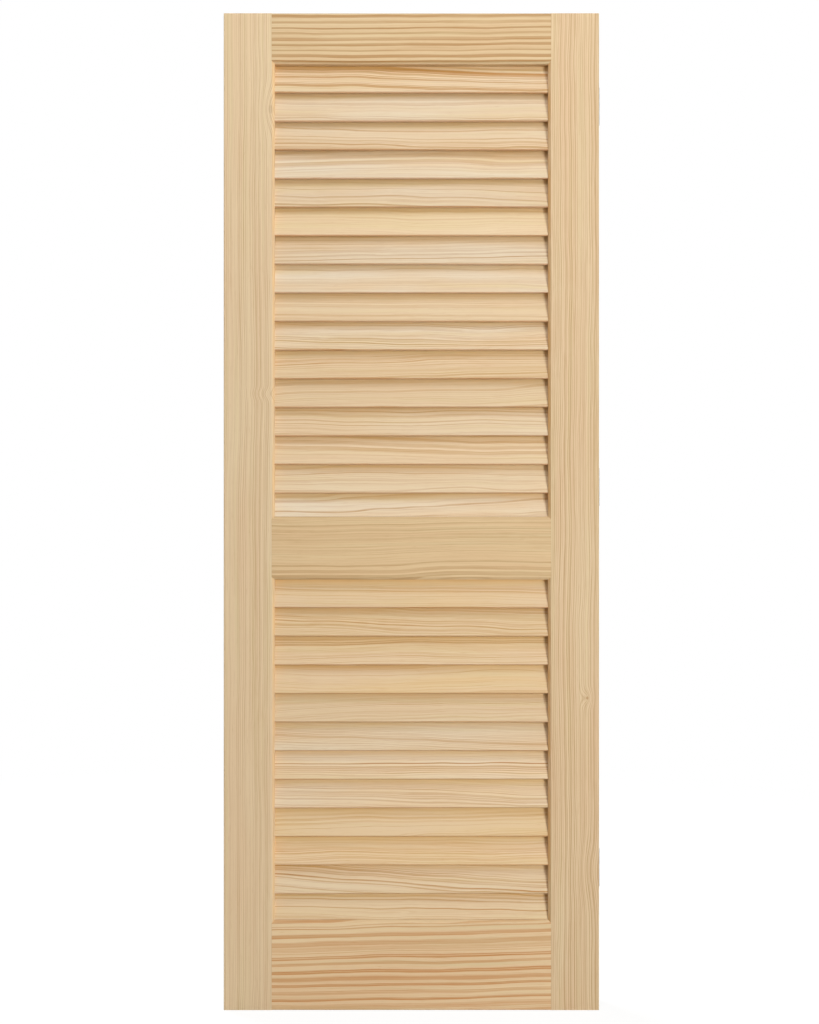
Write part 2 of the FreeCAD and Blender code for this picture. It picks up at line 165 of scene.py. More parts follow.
def slat_grain(tilt):
    """The turn for a slat whose upper edge leans back by a tilt."""
    lean, rise = math.sin(tilt), math.cos(tilt)
    return Matrix(((1, 0, 0), (0, lean, rise), (0, -rise, lean)))


def colour(red, green, blue):
    """A colour given in 0 to 255 screen steps, as the shader's linear values."""
    def linear(step):
        share = step / 255
        return share / 12.92 if share <= 0.04045 else ((share + 0.055) / 1.055) ** 2.4
    return (linear(red), linear(green), linear(blue), 1)


class Finish:
    """A material's node tree, with short ways to add and join its nodes."""

    def __init__(self, name):
        self.material = bpy.data.materials.new(name)
        self.material.use_nodes = True
        self.tree = self.material.node_tree
        self.shader = self.tree.nodes["Principled BSDF"]

    def put(self, socket, value):
        if isinstance(value, bpy.types.NodeSocket):
            self.tree.links.new(value, socket)
        else:
            socket.default_value = value

    def add(self, kind, settings=None, **inputs):
        node = self.tree.nodes.new("ShaderNode" + kind)
        for key, value in (settings or {}).items():
            setattr(node, key, value)
        for key, value in inputs.items():
            self.put(node.inputs[key.replace("_", " ")], value)
        return node

    def maths(self, operation, first, second=0.0, third=0.0):
        node = self.add("Math", {"operation": operation})
        for socket, value in zip(node.inputs, (first, second, third)):
            self.put(socket, value)
        return node.outputs[0]

    def vector(self, operation, first, second=None):
        node = self.add("VectorMath", {"operation": operation})
        self.put(node.inputs[0], first)
        if second is not None:
            self.put(node.inputs[1], second)
        return node.outputs["Value" if operation in ("LENGTH", "DOT_PRODUCT") else "Vector"]

    def noise(self, place, stretch, detail=2.0, roughness=0.5):
        """Noise stretched over a board: cycles per metre along, across and through."""
        spread = self.vector("MULTIPLY", place, stretch)
        node = self.add("TexNoise", Vector=spread, Scale=1.0, Detail=detail, Roughness=roughness)
        return node.outputs

    def ramp(self, value, low, high, to_low=0.0, to_high=1.0, smooth=False):
        kind = "SMOOTHSTEP" if smooth else "LINEAR"
        node = self.add("MapRange", {"interpolation_type": kind, "clamp": True})
        for socket, number in zip(node.inputs, (value, low, high, to_low, to_high)):
            self.put(socket, number)
        return node.outputs["Result"]

    def blend(self, share, first, second):
        node = self.add("Mix", {"data_type": "RGBA", "clamp_factor": True})
        self.put(node.inputs["Factor"], share)
        self.put(node.inputs[6], first)
        self.put(node.inputs[7], second)
        return node.outputs[2]


def pine(finish, turn, centre, look):
    """Pine cut from a log: growth rings round a pith, fibre streaks, knots and soft blotches, with painted
    shade on slats and painted light on mouldings where the look asks for them.
    """
    coordinates = finish.add("TexCoord").outputs["Object"]
    mapping = finish.add("Mapping", Vector=coordinates)
    mapping.inputs["Rotation"].default_value = turn.to_euler()
    mapping.inputs["Location"].default_value = -(turn @ Vector(centre))
    board_place = mapping.outputs["Vector"]
    if "middle" in look:
        board_place = finish.vector("SUBTRACT", board_place, look["middle"])
    own = finish.add("SeparateXYZ", Vector=board_place).outputs
    length = own["X"]
    place = finish.vector("ADD", board_place, look["cut"])

    half = (0.5, 0.5, 0.5)
    wander = finish.noise(place, look["wander_rate"], detail=2.0)["Color"]
    drift = finish.vector("MULTIPLY", finish.vector("SUBTRACT", wander, half), look["wander"])
    ripple = finish.noise(place, (8, 30, 30), detail=2.0)["Color"]
    ripple = finish.vector("MULTIPLY", finish.vector("SUBTRACT", ripple, half), look["ripple"])
    flow = finish.vector("ADD", finish.vector("ADD", place, drift), ripple)
    axes = finish.add("SeparateXYZ", Vector=flow).outputs
    pith_across, pith_deep = look["pith"]
    slope_across, slope_deep = look["slope"]
    across = finish.maths("SUBTRACT", axes["Y"], pith_across)
    across = finish.maths("MULTIPLY_ADD", length, slope_across, across)
    deep = finish.maths("SUBTRACT", axes["Z"], pith_deep)
    deep = finish.maths("MULTIPLY_ADD", length, slope_deep, deep)
    radius = finish.vector("LENGTH", finish.add("CombineXYZ", Y=across, Z=deep).outputs[0])

    core = None
    for along, side, reach, width, push, dark in look.get("knots", ()):
        away = finish.vector("SUBTRACT", board_place, (along, side, 0))
        away = finish.vector("MULTIPLY", away, (1 / reach, 1 / width, 0))
        squared = finish.vector("DOT_PRODUCT", away, away)
        near = finish.maths("EXPONENT", finish.maths("MULTIPLY", squared, -1.0))
        radius = finish.maths("MULTIPLY_ADD", near, push, radius)
        if dark:
            spot = finish.maths("MULTIPLY", finish.ramp(near, *KNOT_CORE, smooth=True), dark)
            core = spot if core is None else finish.maths("MAXIMUM", core, spot)

    years = finish.maths("MULTIPLY", radius, YEAR_RATE)
    season = finish.add("TexNoise", {"noise_dimensions": "1D"}, W=years, Detail=2.0)
    phase = finish.maths("MULTIPLY", radius, look["rings"])
    phase = finish.maths("MULTIPLY_ADD", season.outputs["Fac"], look["uneven"], phase)
    ring = finish.maths("FLOOR", phase)
    part = finish.maths("FRACT", phase)
    luck = finish.add("TexWhiteNoise", {"noise_dimensions": "1D"}, W=ring).outputs["Value"]
    strength = finish.maths("MULTIPLY_ADD", luck, look["ring_spread"], 1 - look["ring_spread"])
    patch_noise = finish.noise(place, (0.9, 18, 18), detail=2.0)["Fac"]
    patch = finish.ramp(patch_noise, 0.34, 0.66, *look["patches"])
    summer = finish.ramp(part, finish.maths("MULTIPLY", luck, LATE_START), LATE_PEAK, smooth=True)
    ending = finish.ramp(part, LATE_PEAK, 1.0, 1.0, 0.0, smooth=True)
    late = finish.maths("MULTIPLY", finish.maths("MULTIPLY", summer, ending), strength)
    late = finish.maths("MULTIPLY", late, patch)
    fibre = finish.noise(flow, (3, 420, 420), detail=3.0, roughness=0.65)["Fac"]
    streak = finish.maths("SUBTRACT", fibre, 0.5)
    late = finish.maths("MULTIPLY_ADD", streak, look["streaks"], late)

    blotch = finish.noise(flow, (2.0, 22, 22), detail=3.0)["Fac"]
    pale = finish.blend(finish.ramp(blotch, 0.36, 0.64), look["pale"], look["blush"])
    green = finish.noise(flow, (1.4, 60, 60), detail=2.0)["Fac"]
    pale = finish.blend(finish.ramp(green, 0.5, 0.7, 0.0, 0.6), pale, look["straw"])
    wood = finish.blend(finish.maths("MULTIPLY", late, look["contrast"]), pale, look["late"])
    canal_noise = finish.noise(place, (40, 900, 900), detail=1.0)["Fac"]
    wood = finish.blend(finish.ramp(canal_noise, 0.64, 0.78, 0.0, 0.22), wood, look["late"])
    if core is not None:
        wood = finish.blend(core, wood, look["knot"])
    if "ends" in look:
        reach = finish.maths("ABSOLUTE", length)
        line = finish.ramp(reach, look["ends"] - SHOULDER_LINE, look["ends"], 0.0, SHOULDER_SHARE)
        wood = finish.blend(line, wood, look["knot"])
    half_across, half_deep = look["half"]
    if "oiled" in look:
        # Painted shade: the top of each slat, under the lap of the slat above, goes warmer and darker.
        lap_start, lap_full = half_across - LAP_SHADE_REACH, half_across - EDGE_REACH
        lap_shade_mask = finish.ramp(own["Y"], lap_start, lap_full, smooth=True)
        wood = finish.blend(finish.maths("MULTIPLY", lap_shade_mask, LAP_SHADE_SHARE), wood, look["oiled"])
        # Painted shade: a dark line along each slat's lower edge.
        shade_full, shade_end = EDGE_SHADE_REACH * EDGE_SHADE_CORE - half_across, EDGE_SHADE_REACH - half_across
        edge_shade_mask = finish.ramp(own["Y"], shade_full, shade_end, EDGE_SHADE_SHARE, 0.0)
        wood = finish.blend(edge_shade_mask, wood, look["sealed"])
    # Painted light on the inner moulding, in noisy patches: a painted highlight where its colour is
    # lighter, painted shade where it is darker.
    if "moulding" in look:
        inner_side, share, moulding_tint = look["moulding"]
        inward = finish.maths("MULTIPLY", own["Y"], inner_side)
        moulded = finish.ramp(inward, half_across - MOULDING_WIDTH, half_across - MOULDING_WIDTH / 2)
        tint_noise = finish.noise(place, (16, 8, 8), detail=2.0)["Fac"]
        tint_strength = finish.ramp(tint_noise, 0.36, 0.6, share / 3, share)
        wood = finish.blend(finish.maths("MULTIPLY", moulded, tint_strength), wood, moulding_tint)
    by_side = finish.ramp(finish.maths("ABSOLUTE", own["Y"]), half_across - EDGE_REACH, half_across)
    by_face = finish.ramp(finish.maths("ABSOLUTE", own["Z"]), half_deep - EDGE_REACH, half_deep)
    rubbed = finish.ramp(finish.noise(place, (14, 60, 60), detail=3.0)["Fac"], 0.38, 0.66)
    worn = finish.maths("MULTIPLY", finish.maths("MULTIPLY", by_side, by_face), rubbed)
    wood = finish.blend(finish.maths("MULTIPLY", worn, WORN_SHARE), wood, look["worn"])
    if "tone" in look:
        wood = finish.add("HueSaturation", Color=wood, Value=look["tone"]).outputs["Color"]

    finish.put(finish.shader.inputs["Base Color"], wood)
    rough = finish.maths("MULTIPLY_ADD", late, -LATE_GLOSS, PINE_ROUGH)
    rough = finish.maths("MULTIPLY_ADD", worn, -WORN_GLOSS, rough)
    rough = finish.maths("MULTIPLY_ADD", streak, FIBRE_ROUGH, rough)
    finish.put(finish.shader.inputs["Roughness"], rough)
    finish.shader.inputs["Specular IOR Level"].default_value = 0.3
    height = finish.maths("MULTIPLY_ADD", late, LATE_RELIEF, streak)
    bump = finish.add("Bump", Height=height, Strength=PINE_BUMP, Distance=PINE_RELIEF)
    finish.put(finish.shader.inputs["Normal"], bump.outputs["Normal"])
    return finish.material


PALE = colour(229, 217, 198)
BLUSH = colour(226, 200, 165)
HONEY = colour(224, 190, 134)
STRAW = colour(223, 202, 159)
LATE = colour(178, 130, 76)
AMBER = colour(194, 138, 66)
WORN = colour(206, 172, 124)
KNOT = colour(120, 78, 44)
# Painted shade colour under each slat's lap.
LAP_SHADE = colour(225, 182, 104)
# Painted shade colour along each slat's lower edge.
EDGE_SHADE = colour(200, 112, 36)


def board(**changes):
    """The look of a plain straight-grained board, with changes."""
    look = {
        "wander_rate": (1.1, 7, 7),
        "wander": (0, 0.008, 0.008),
        "ripple": (0, 0.0015, 0.0015),
        "cut": (0, 0, 0),
        "pith": (0.30, 0.06),
        "slope": (0.0, 0.0),
        "rings": 150,
        "uneven": 4.0,
        "ring_spread": 0.75,
        "patches": (0.6, 1.1),
        "streaks": 0.9,
        "contrast": 0.55,
        "pale": PALE,
        "blush": BLUSH,
        "straw": STRAW,
        "late": LATE,
        "knot": KNOT,
        "worn": WORN,
    }
    look.update(changes)
    return look


def middle_of(name):
    low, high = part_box(name)
    return (low + high) / 2


def paint(name, material):
    """Give a CAD node one material in all its slots."""
    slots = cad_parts[name].data.materials
    slots.clear()
    slots.append(material)


def finish_boards(leaf, side):
    """Stiles and rails of one leaf; side is 1 in front and -1 behind, for boards cut another way."""
    low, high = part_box("front_top_rail")
    half_rail = (high.x - low.x) / 2
    # Each knot: its place along and across, its reach and width, how far it pushes the rings, how dark.
    # The moulding's painted light: which side it is on, how strong it is, and its colour, a painted
    # highlight on the pivot stile and painted shade on the hinge stile.
    looks = {
        "pivot_stile": (UPRIGHT_GRAIN, board(
            rings=260, uneven=1.6, ring_spread=0.75, contrast=0.55, streaks=1.3,
            pith=(side * 0.34, 0.05),
            wander_rate=(2.6, 5, 5), wander=(0, 0.014, 0.014), ripple=(0, 0.0035, 0.0035),
            pale=colour(232, 209, 173), blush=colour(230, 203, 167),
            knots=[(0.81, 0.044, 0.040, 0.022, -0.018, 0.15), (0.237, 0.036, 0.010, 0.030, -0.007, 0)],
            # Painted highlight on the lit moulding.
            moulding=(1, 0.5, colour(246, 202, 142)),
        )),
        "hinge_stile": (UPRIGHT_GRAIN, board(
            rings=250, uneven=1.4, ring_spread=0.65, contrast=0.68, streaks=1.3,
            pith=(side * -0.30, 0.04),
            wander_rate=(3.2, 5, 5), wander=(0, 0.016, 0.016), ripple=(0, 0.0035, 0.0035),
            pale=colour(229, 205, 168), blush=colour(226, 197, 160), knot=colour(176, 122, 70),
            knots=[(-0.375, 0.027, 0.015, 0.012, -0.011, 0.55), (-0.72, 0.03, 0.06, 0.03, 0.010, 0)],
            # Painted shade on the moulding that lies in the stile's shadow.
            moulding=(-1, 0.9, colour(210, 162, 104)),
        )),
        "top_rail": (LEVEL_GRAIN, board(
            rings=92, uneven=0.9, ring_spread=0.5, contrast=0.95, patches=(0.75, 1.1),
            pith=(side * 0.22, 0.08),
            wander_rate=(2.5, 5, 5), wander=(0, 0.012, 0.012), ripple=(0, 0.004, 0.004),
            pale=colour(224, 200, 160), blush=colour(221, 192, 151), late=colour(174, 124, 64),
            ends=half_rail,
        )),
        "lock_rail": (LEVEL_GRAIN, board(
            rings=110, uneven=1.8, ring_spread=0.65, contrast=0.68, streaks=1.2,
            pith=(side * -0.16, 0.10),
            wander_rate=(1.9, 5, 5), wander=(0, 0.028, 0.028), ripple=(0, 0.004, 0.004),
            pale=colour(227, 199, 156), blush=colour(222, 190, 147), ends=half_rail,
        )),
        "bottom_rail": (LEVEL_GRAIN, board(
            rings=70, uneven=1.4, ring_spread=0.5, contrast=0.77, patches=(0.85, 1.15), streaks=0.9,
            pith=(side * 0.20, 0.06), slope=(side * -0.02, 0), wander_rate=(2.0, 6, 6),
            wander=(0, 0.028, 0.028), ripple=(0, 0.005, 0.005), ends=half_rail,
            pale=colour(236, 209, 168), blush=colour(233, 201, 160), late=colour(195, 128, 60),
        )),
    }
    for piece, (turn, look) in looks.items():
        name = f"{leaf}_{piece}"
        low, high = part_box(name)
        size = turn @ (high - low)
        look["half"] = (abs(size.y) / 2, abs(size.z) / 2)
        look["cut"] = (random.uniform(0, LOG_LENGTH), 0, 0)
        paint(name, pine(Finish(name + "_pine"), turn, (low + high) / 2, look))


def slat_pine(name, tilt, centre):
    """One finish for all the slats of a leaf; each slat carries its own cut, tone and warmth, with painted
    shade under each lap and along each lower edge.
    """
    finish = Finish(name)

    def carried(attribute):
        return finish.add("Attribute", {"attribute_name": attribute}).outputs["Vector"]

    slope = finish.add("SeparateXYZ", Vector=carried("slat_slope")).outputs
    make = finish.add("SeparateXYZ", Vector=carried("slat_make")).outputs
    look = board(
        wander_rate=(3.2, 8, 8),
        wander=(0, 0.022, 0.022),
        ripple=(0, 0.004, 0.004),
        middle=carried("slat_middle"),
        half=(SLAT_WIDTH / 2, SLAT_THICK / 2),
        cut=carried("slat_cut"),
        pith=(0, 0),
        uneven=2.2,
        ring_spread=0.8,
        slope=(slope["X"], slope["Y"]),
        rings=make["X"],
        contrast=make["Y"],
        tone=make["Z"],
        pale=finish.blend(slope["Z"], PALE, HONEY),
        late=finish.blend(slope["Z"], LATE, AMBER),
        # Painted shade under each lap and along each lower edge.
        oiled=LAP_SHADE,
        sealed=EDGE_SHADE,
    )
    return pine(finish, slat_grain(tilt), centre, look)


def carry(slat, attribute, value):
    """Store one vector all over a slat, for its finish to read."""
    stored = slat.data.attributes.new(attribute, "FLOAT_VECTOR", "POINT")
    stored.data.foreach_set("vector", list(value) * len(slat.data.vertices))


def choose_wood(slat, middle, warmth):
    """Where in the log a slat was cut, how its grain runs, its warmth, and its rings, contrast and tone."""
    side = random.choice((-1, 1))
    along = random.uniform(0, LOG_LENGTH)
    across = side * random.uniform(*PITH_ACROSS)
    carry(slat, "slat_middle", middle)
    carry(slat, "slat_cut", (along, across, random.uniform(*PITH_DEEP)))
    slope_across = random.gauss(0, GRAIN_SLOPE)
    slope_deep = random.gauss(0, GRAIN_SLOPE)
    carry(slat, "slat_slope", (slope_across, slope_deep, random.uniform(*warmth)))
    contrast = random.uniform(*SLAT_CONTRAST) + WARM_CONTRAST * warmth[0]
    carry(slat, "slat_make", (random.uniform(*SLAT_RINGS), contrast, random.uniform(*SLAT_TONE)))


def zinc(name):
    """Zinc-plated steel: a brushed grain with dull patches, rubbed bright on barrels and plate edges."""
    finish = Finish(name)
    place = finish.add("TexCoord").outputs["Object"]
    brushed = finish.noise(place, (900, 900, 60), detail=3.0)["Fac"]
    cloud = finish.noise(place, (120, 120, 120), detail=3.0)["Fac"]
    tone = finish.blend(finish.ramp(cloud, 0.35, 0.7), colour(176, 178, 178), colour(205, 206, 203))
    tone = finish.blend(finish.ramp(brushed, 0.4, 0.75, 0.0, 0.25), tone, colour(140, 142, 144))
    low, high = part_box("middle_hinge_pin")
    from_pin = finish.vector("SUBTRACT", place, (low + high) / 2)
    flat = finish.vector("MULTIPLY", from_pin, (1, 1, 0))
    from_axis = finish.vector("LENGTH", flat)
    barrel = finish.ramp(from_axis, HINGE_BARREL * 0.9, HINGE_BARREL * 1.05, 1.0, 0.0)
    reach = finish.maths("ABSOLUTE", finish.add("SeparateXYZ", Vector=flat).outputs["Y"])
    rim = finish.ramp(reach, WING_EDGE - WING_RUB, WING_EDGE)
    handled = finish.maths("MAXIMUM", barrel, rim)
    rubbed = finish.maths("MULTIPLY", handled, finish.ramp(cloud, 0.4, 0.62))
    tone = finish.blend(finish.maths("MULTIPLY", rubbed, 0.6), tone, colour(224, 224, 220))
    finish.put(finish.shader.inputs["Base Color"], tone)
    finish.shader.inputs["Metallic"].default_value = 1.0
    rough = finish.ramp(cloud, 0.3, 0.75, 0.28, 0.44)
    rough = finish.maths("MULTIPLY_ADD", rubbed, -0.1, rough)
    finish.put(finish.shader.inputs["Roughness"], rough)
    bump = finish.add("Bump", Height=brushed, Strength=0.1, Distance=0.0002)
    finish.put(finish.shader.inputs["Normal"], bump.outputs["Normal"])
    return finish.material


def nylon(name):
    """Moulded off-white nylon with a fine spark-eroded skin."""
    finish = Finish(name)
    place = finish.add("TexCoord").outputs["Object"]
    cloud = finish.noise(place, (60, 60, 60), detail=2.0)["Fac"]
    skin = finish.noise(place, (2500, 2500, 2500), detail=2.0)["Fac"]
    tone = finish.blend(finish.ramp(cloud, 0.3, 0.7), colour(226, 223, 212), colour(214, 210, 197))
    finish.put(finish.shader.inputs["Base Color"], tone)
    finish.put(finish.shader.inputs["Roughness"], finish.ramp(skin, 0.3, 0.7, 0.38, 0.55))
    bump = finish.add("Bump", Height=skin, Strength=0.15, Distance=0.0002)
    finish.put(finish.shader.inputs["Normal"], bump.outputs["Normal"])
    return finish.material


def beech(name):
    """Beech dowel: pinkish, close grained, with short ray flecks."""
    finish = Finish(name)
    place = finish.add("TexCoord").outputs["Object"]
    grain = finish.noise(place, (20, 500, 500), detail=3.0)["Fac"]
    fleck = finish.noise(place, (300, 900, 900), detail=1.0)["Fac"]
    tone = finish.blend(finish.ramp(grain, 0.35, 0.7), colour(214, 178, 140), colour(196, 154, 116))
    tone = finish.blend(finish.ramp(fleck, 0.62, 0.72, 0.0, 0.5), tone, colour(156, 108, 74))
    finish.put(finish.shader.inputs["Base Color"], tone)
    finish.put(finish.shader.inputs["Roughness"], finish.ramp(grain, 0.3, 0.7, 0.55, 0.7))
    bump = finish.add("Bump", Height=grain, Strength=0.1, Distance=0.0002)
    finish.put(finish.shader.inputs["Normal"], bump.outputs["Normal"])
    return finish.material


def select_only(piece):
    bpy.ops.object.select_all(action="DESELECT")
    piece.select_set(True)
    bpy.context.view_layer.objects.active = piece


def settle(piece):
    """Move a piece's place, turn and scale into its mesh."""
    select_only(piece)
    bpy.ops.object.transform_apply(location=True, rotation=True, scale=True)


def pick_edges(piece, wanted):
    """In edit mode, select just the edges whose two ends pass a test."""
    bpy.ops.mesh.select_mode(type="EDGE")
    bpy.ops.mesh.select_all(action="DESELECT")
    bpy.ops.object.mode_set(mode="OBJECT")
    points = piece.data.vertices
    for edge in piece.data.edges:
        start, end = (points[index].co for index in edge.vertices)
        edge.select = wanted(start, end)
    bpy.ops.object.mode_set(mode="EDIT")


def runs_lengthwise(start, end):
    return abs(end.x - start.x) > LONG_EDGE


def apply_modifiers(piece):
    select_only(piece)
    for modifier in list(piece.modifiers):
        bpy.ops.object.modifier_apply(modifier=modifier.name)


def model_slat_blank(length):
    """A straight slat on the origin: X along, Y through, Z across, its long edges rounded."""
    bpy.ops.object.select_all(action="DESELECT")
    bpy.ops.mesh.primitive_cube_add(size=1)
    blank = bpy.context.object
    blank.name = "slat_blank"
    blank.scale = (length, SLAT_THICK, SLAT_WIDTH)
    settle(blank)
    bpy.ops.object.mode_set(mode="EDIT")
    pick_edges(blank, runs_lengthwise)
    bpy.ops.mesh.bevel(offset=SLAT_ROUND, segments=SLAT_BEVELS, affect="EDGES")
    pick_edges(blank, runs_lengthwise)
    bpy.ops.mesh.subdivide(number_cuts=SLAT_CUTS)
    bpy.ops.object.mode_set(mode="OBJECT")
    return blank


def rip(piece, height, keep_above):
    """Cut a slat along a level line and cap it there."""
    select_only(piece)
    bpy.ops.object.mode_set(mode="EDIT")
    bpy.ops.mesh.select_all(action="SELECT")
    bpy.ops.mesh.bisect(
        plane_co=(0, 0, height),
        plane_no=(0, 0, 1),
        use_fill=True,
        clear_inner=keep_above,
        clear_outer=not keep_above,
    )
    bpy.ops.object.mode_set(mode="OBJECT")


def bend(piece, method, axis, degrees):
    modifier = piece.modifiers.new(method.lower() + axis, "SIMPLE_DEFORM")
    modifier.deform_method = method
    modifier.deform_axis = axis
    modifier.angle = math.radians(degrees)


def make_slat(blank, name, leaf, node, centre, lean, trims, material):
    """One slat: a copy of the blank, a little out of true, leaned into place and ripped to the rails."""
    slat = blank.copy()
    slat.data = blank.data.copy()
    slat.name = name
    bpy.context.scene.collection.objects.link(slat)
    bend(slat, "TWIST", "X", random.uniform(-SLAT_TWIST, SLAT_TWIST))
    bend(slat, "BEND", "Z", random.uniform(-SLAT_BOW, SLAT_BOW))
    bend(slat, "BEND", "Y", random.uniform(-SLAT_CROOK, SLAT_CROOK))
    apply_modifiers(slat)
    skew = math.radians(random.uniform(-SLAT_SKEW, SLAT_SKEW))
    slat.rotation_euler = (-lean, skew, 0)
    slat.location = centre
    settle(slat)
    for height, keep_above in trims:
        rip(slat, height, keep_above)
    select_only(slat)
    bpy.ops.object.shade_smooth_by_angle(angle=SMOOTH_ANGLE)
    slat.data.materials.append(material)
    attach(slat, leaf)
    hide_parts(node)
    return slat


def make_slats():
    """All the slats of both leaves."""
    low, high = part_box("front_upper_slat_02")
    blank = model_slat_blank(high.x - low.x)
    middle_x = (low.x + high.x) / 2
    rear_low, rear_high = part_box("rear_upper_slats")
    rear_depth = (rear_low.y + rear_high.y) / 2
    for leaf, lean, depth in (("front", SLAT_TILT, 0.0), ("rear", -SLAT_TILT, rear_depth)):
        material = slat_pine(leaf + "_slat_pine", lean, (middle_x, depth, 0))
        for opening, (below, above, count, warmth) in OPENINGS.items():
            second = middle_of(f"front_{opening}_slat_02").z
            pitch = second - middle_of(f"front_{opening}_slat_03").z
            floor_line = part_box("front_" + below)[1].z + TRIM_GAP
            top_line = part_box("front_" + above)[0].z - TRIM_GAP
            for number in range(1, count + 1):
                centre = (middle_x, depth, second - (number - 2) * pitch)
                trims = []
                if number == 1:
                    trims.append((top_line, False))
                if number == count:
                    trims.append((floor_line, True))
                node = f"front_{opening}_slat_{number:02d}" if leaf == "front" else f"rear_{opening}_slats"
                name = f"{leaf}_{opening}_louvre_{number:02d}"
                slat = make_slat(blank, name, leaf + "_leaf", node, centre, lean, trims, material)
                choose_wood(slat, slat_grain(lean) @ Vector((0, 0, centre[2])), warmth)
    bpy.data.objects.remove(blank)


def model_recess_blade(turn):
    """One arm of the cross recess: a blade that narrows towards its deep end."""
    bpy.ops.object.select_all(action="DESELECT")
    bpy.ops.mesh.primitive_cube_add(size=1)
    blade = bpy.context.object
    blade.scale = (2 * RECESS_DEPTH, 2 * RECESS_REACH, RECESS_WIDTH)
    settle(blade)
    bpy.ops.object.mode_set(mode="EDIT")
    pick_edges(blade, lambda start, end: max(start.x, end.x) < 0)
    bpy.ops.transform.resize(value=RECESS_TAPER, center_override=(0, 0, 0))
    bpy.ops.object.mode_set(mode="OBJECT")
    blade.rotation_euler = (turn, 0, 0)
    settle(blade)
    return blade


def model_screw():
    """A countersunk screw with a cross recess: its head on the origin, its point towards -X."""
    bpy.ops.object.select_all(action="DESELECT")
    bpy.ops.mesh.primitive_circle_add(vertices=SCREW_SIDES, radius=SCREW_HEAD, fill_type="NGON")
    screw = bpy.context.object
    screw.name = "screw_blank"
    screw.rotation_euler = (0, math.radians(90), 0)
    settle(screw)
    bpy.ops.object.mode_set(mode="EDIT")
    bpy.ops.mesh.select_all(action="SELECT")
    shank = SCREW_LENGTH - HEAD_DEPTH - SCREW_POINT
    lengths = ((HEAD_DEPTH, SCREW_SHANK / SCREW_HEAD), (shank, 1.0), (SCREW_POINT, POINT_TAPER))
    for step, taper in lengths:
        bpy.ops.mesh.extrude_region_move(TRANSFORM_OT_translate={"value": (-step, 0, 0)})
        bpy.ops.transform.resize(value=(1, taper, taper), center_override=(0, 0, 0))
    bpy.ops.mesh.select_all(action="SELECT")
    bpy.ops.mesh.normals_make_consistent(inside=False)
    bpy.ops.object.mode_set(mode="OBJECT")
    blades = [model_recess_blade(turn) for turn in (0, math.radians(90))]
    for blade in blades:
        cut = screw.modifiers.new("recess", "BOOLEAN")
        cut.operation = "DIFFERENCE"
        cut.solver = "EXACT"
        cut.object = blade
    apply_modifiers(screw)
    for blade in blades:
        bpy.data.objects.remove(blade)
    select_only(screw)
    bpy.ops.object.shade_smooth_by_angle(angle=SMOOTH_ANGLE)
    return screw


def make_screws(steel):
    """The hinge screws of both leaves, each turned home to its own angle."""
    blank = model_screw()
    blank.data.materials.append(steel)
    for leaf, spread in SCREW_SPREAD.items():
        low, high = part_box(f"{leaf}_hinge_screws")
        for hinge in ("top", "middle", "bottom"):
            height = middle_of(f"{hinge}_hinge_front_wing").z
            for label, rise in (("upper", spread), ("lower", -spread)):
                screw = blank.copy()
                screw.data = blank.data.copy()
                screw.name = f"{leaf}_{hinge}_hinge_{label}_screw"
                bpy.context.scene.collection.objects.link(screw)
                screw.rotation_euler = (random.uniform(0, math.pi), 0, 0)
                screw.location = (high.x, (low.y + high.y) / 2, height + rise)
                settle(screw)
                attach(screw, leaf + "_leaf")
                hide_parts(f"{leaf}_hinge_screws")
    bpy.data.objects.remove(blank)


def rays_that_see(nodes, links):
    """1 for what the camera sees, straight or in a gloss or glass, and 0 for the light on the door."""
    path = nodes.new("ShaderNodeLightPath")
    mirrored = nodes.new("ShaderNodeMath")
    mirrored.operation = "MAXIMUM"
    links.new(path.outputs["Is Glossy Ray"], mirrored.inputs[0])
    links.new(path.outputs["Is Transmission Ray"], mirrored.inputs[1])
    seen = nodes.new("ShaderNodeMath")
    seen.operation = "MAXIMUM"
    links.new(path.outputs["Is Camera Ray"], seen.inputs[0])
    links.new(mirrored.outputs[0], seen.inputs[1])
    return seen.outputs[0]


def light_studio():
    """A small near key above the door, a tall panel far at its right, a lamp behind, a white surround."""
    def lamp(name, place, aim, width, height, power):
        light = bpy.data.lights.new(name, "AREA")
        light.shape = "RECTANGLE"
        light.size = width
        light.size_y = height
        light.energy = power
        holder = bpy.data.objects.new(name, light)
        bpy.context.scene.collection.objects.link(holder)
        holder.location = place
        holder.rotation_euler = (Vector(aim) - Vector(place)).to_track_quat("-Z", "Y").to_euler()

    door = DOOR_MIDDLE
    lamp("key_lamp", door + Vector((0.0, -1.3, 2.0)), aim=door + Vector((0, 0, 0.7)),
         width=0.9, height=0.9, power=11)
    lamp("side_panel", door + Vector((2.3, -4.1, -0.6)), aim=door + Vector((0, 0, -0.3)),
         width=1.4, height=2.8, power=200)
    lamp("back_lamp", door + Vector((-0.8, 1, 0.7)) * 3.5, aim=door, width=2.5, height=2.5, power=240)

    world = bpy.data.worlds.new("white_surround")
    bpy.context.scene.world = world
    world.use_nodes = True
    nodes, links = world.node_tree.nodes, world.node_tree.links
    background = nodes["Background"]
    seen = rays_that_see(nodes, links)
    level = nodes.new("ShaderNodeMapRange")
    links.new(seen, level.inputs["Value"])
    level.inputs["To Min"].default_value = AMBIENT
    level.inputs["To Max"].default_value = 1.0
    links.new(level.outputs["Result"], background.inputs["Strength"])
    tint = nodes.new("ShaderNodeMix")
    tint.data_type = "RGBA"
    links.new(seen, tint.inputs["Factor"])
    tint.inputs[6].default_value = AMBIENT_TINT
    tint.inputs[7].default_value = (1, 1, 1, 1)
    links.new(tint.outputs[2], background.inputs["Color"])


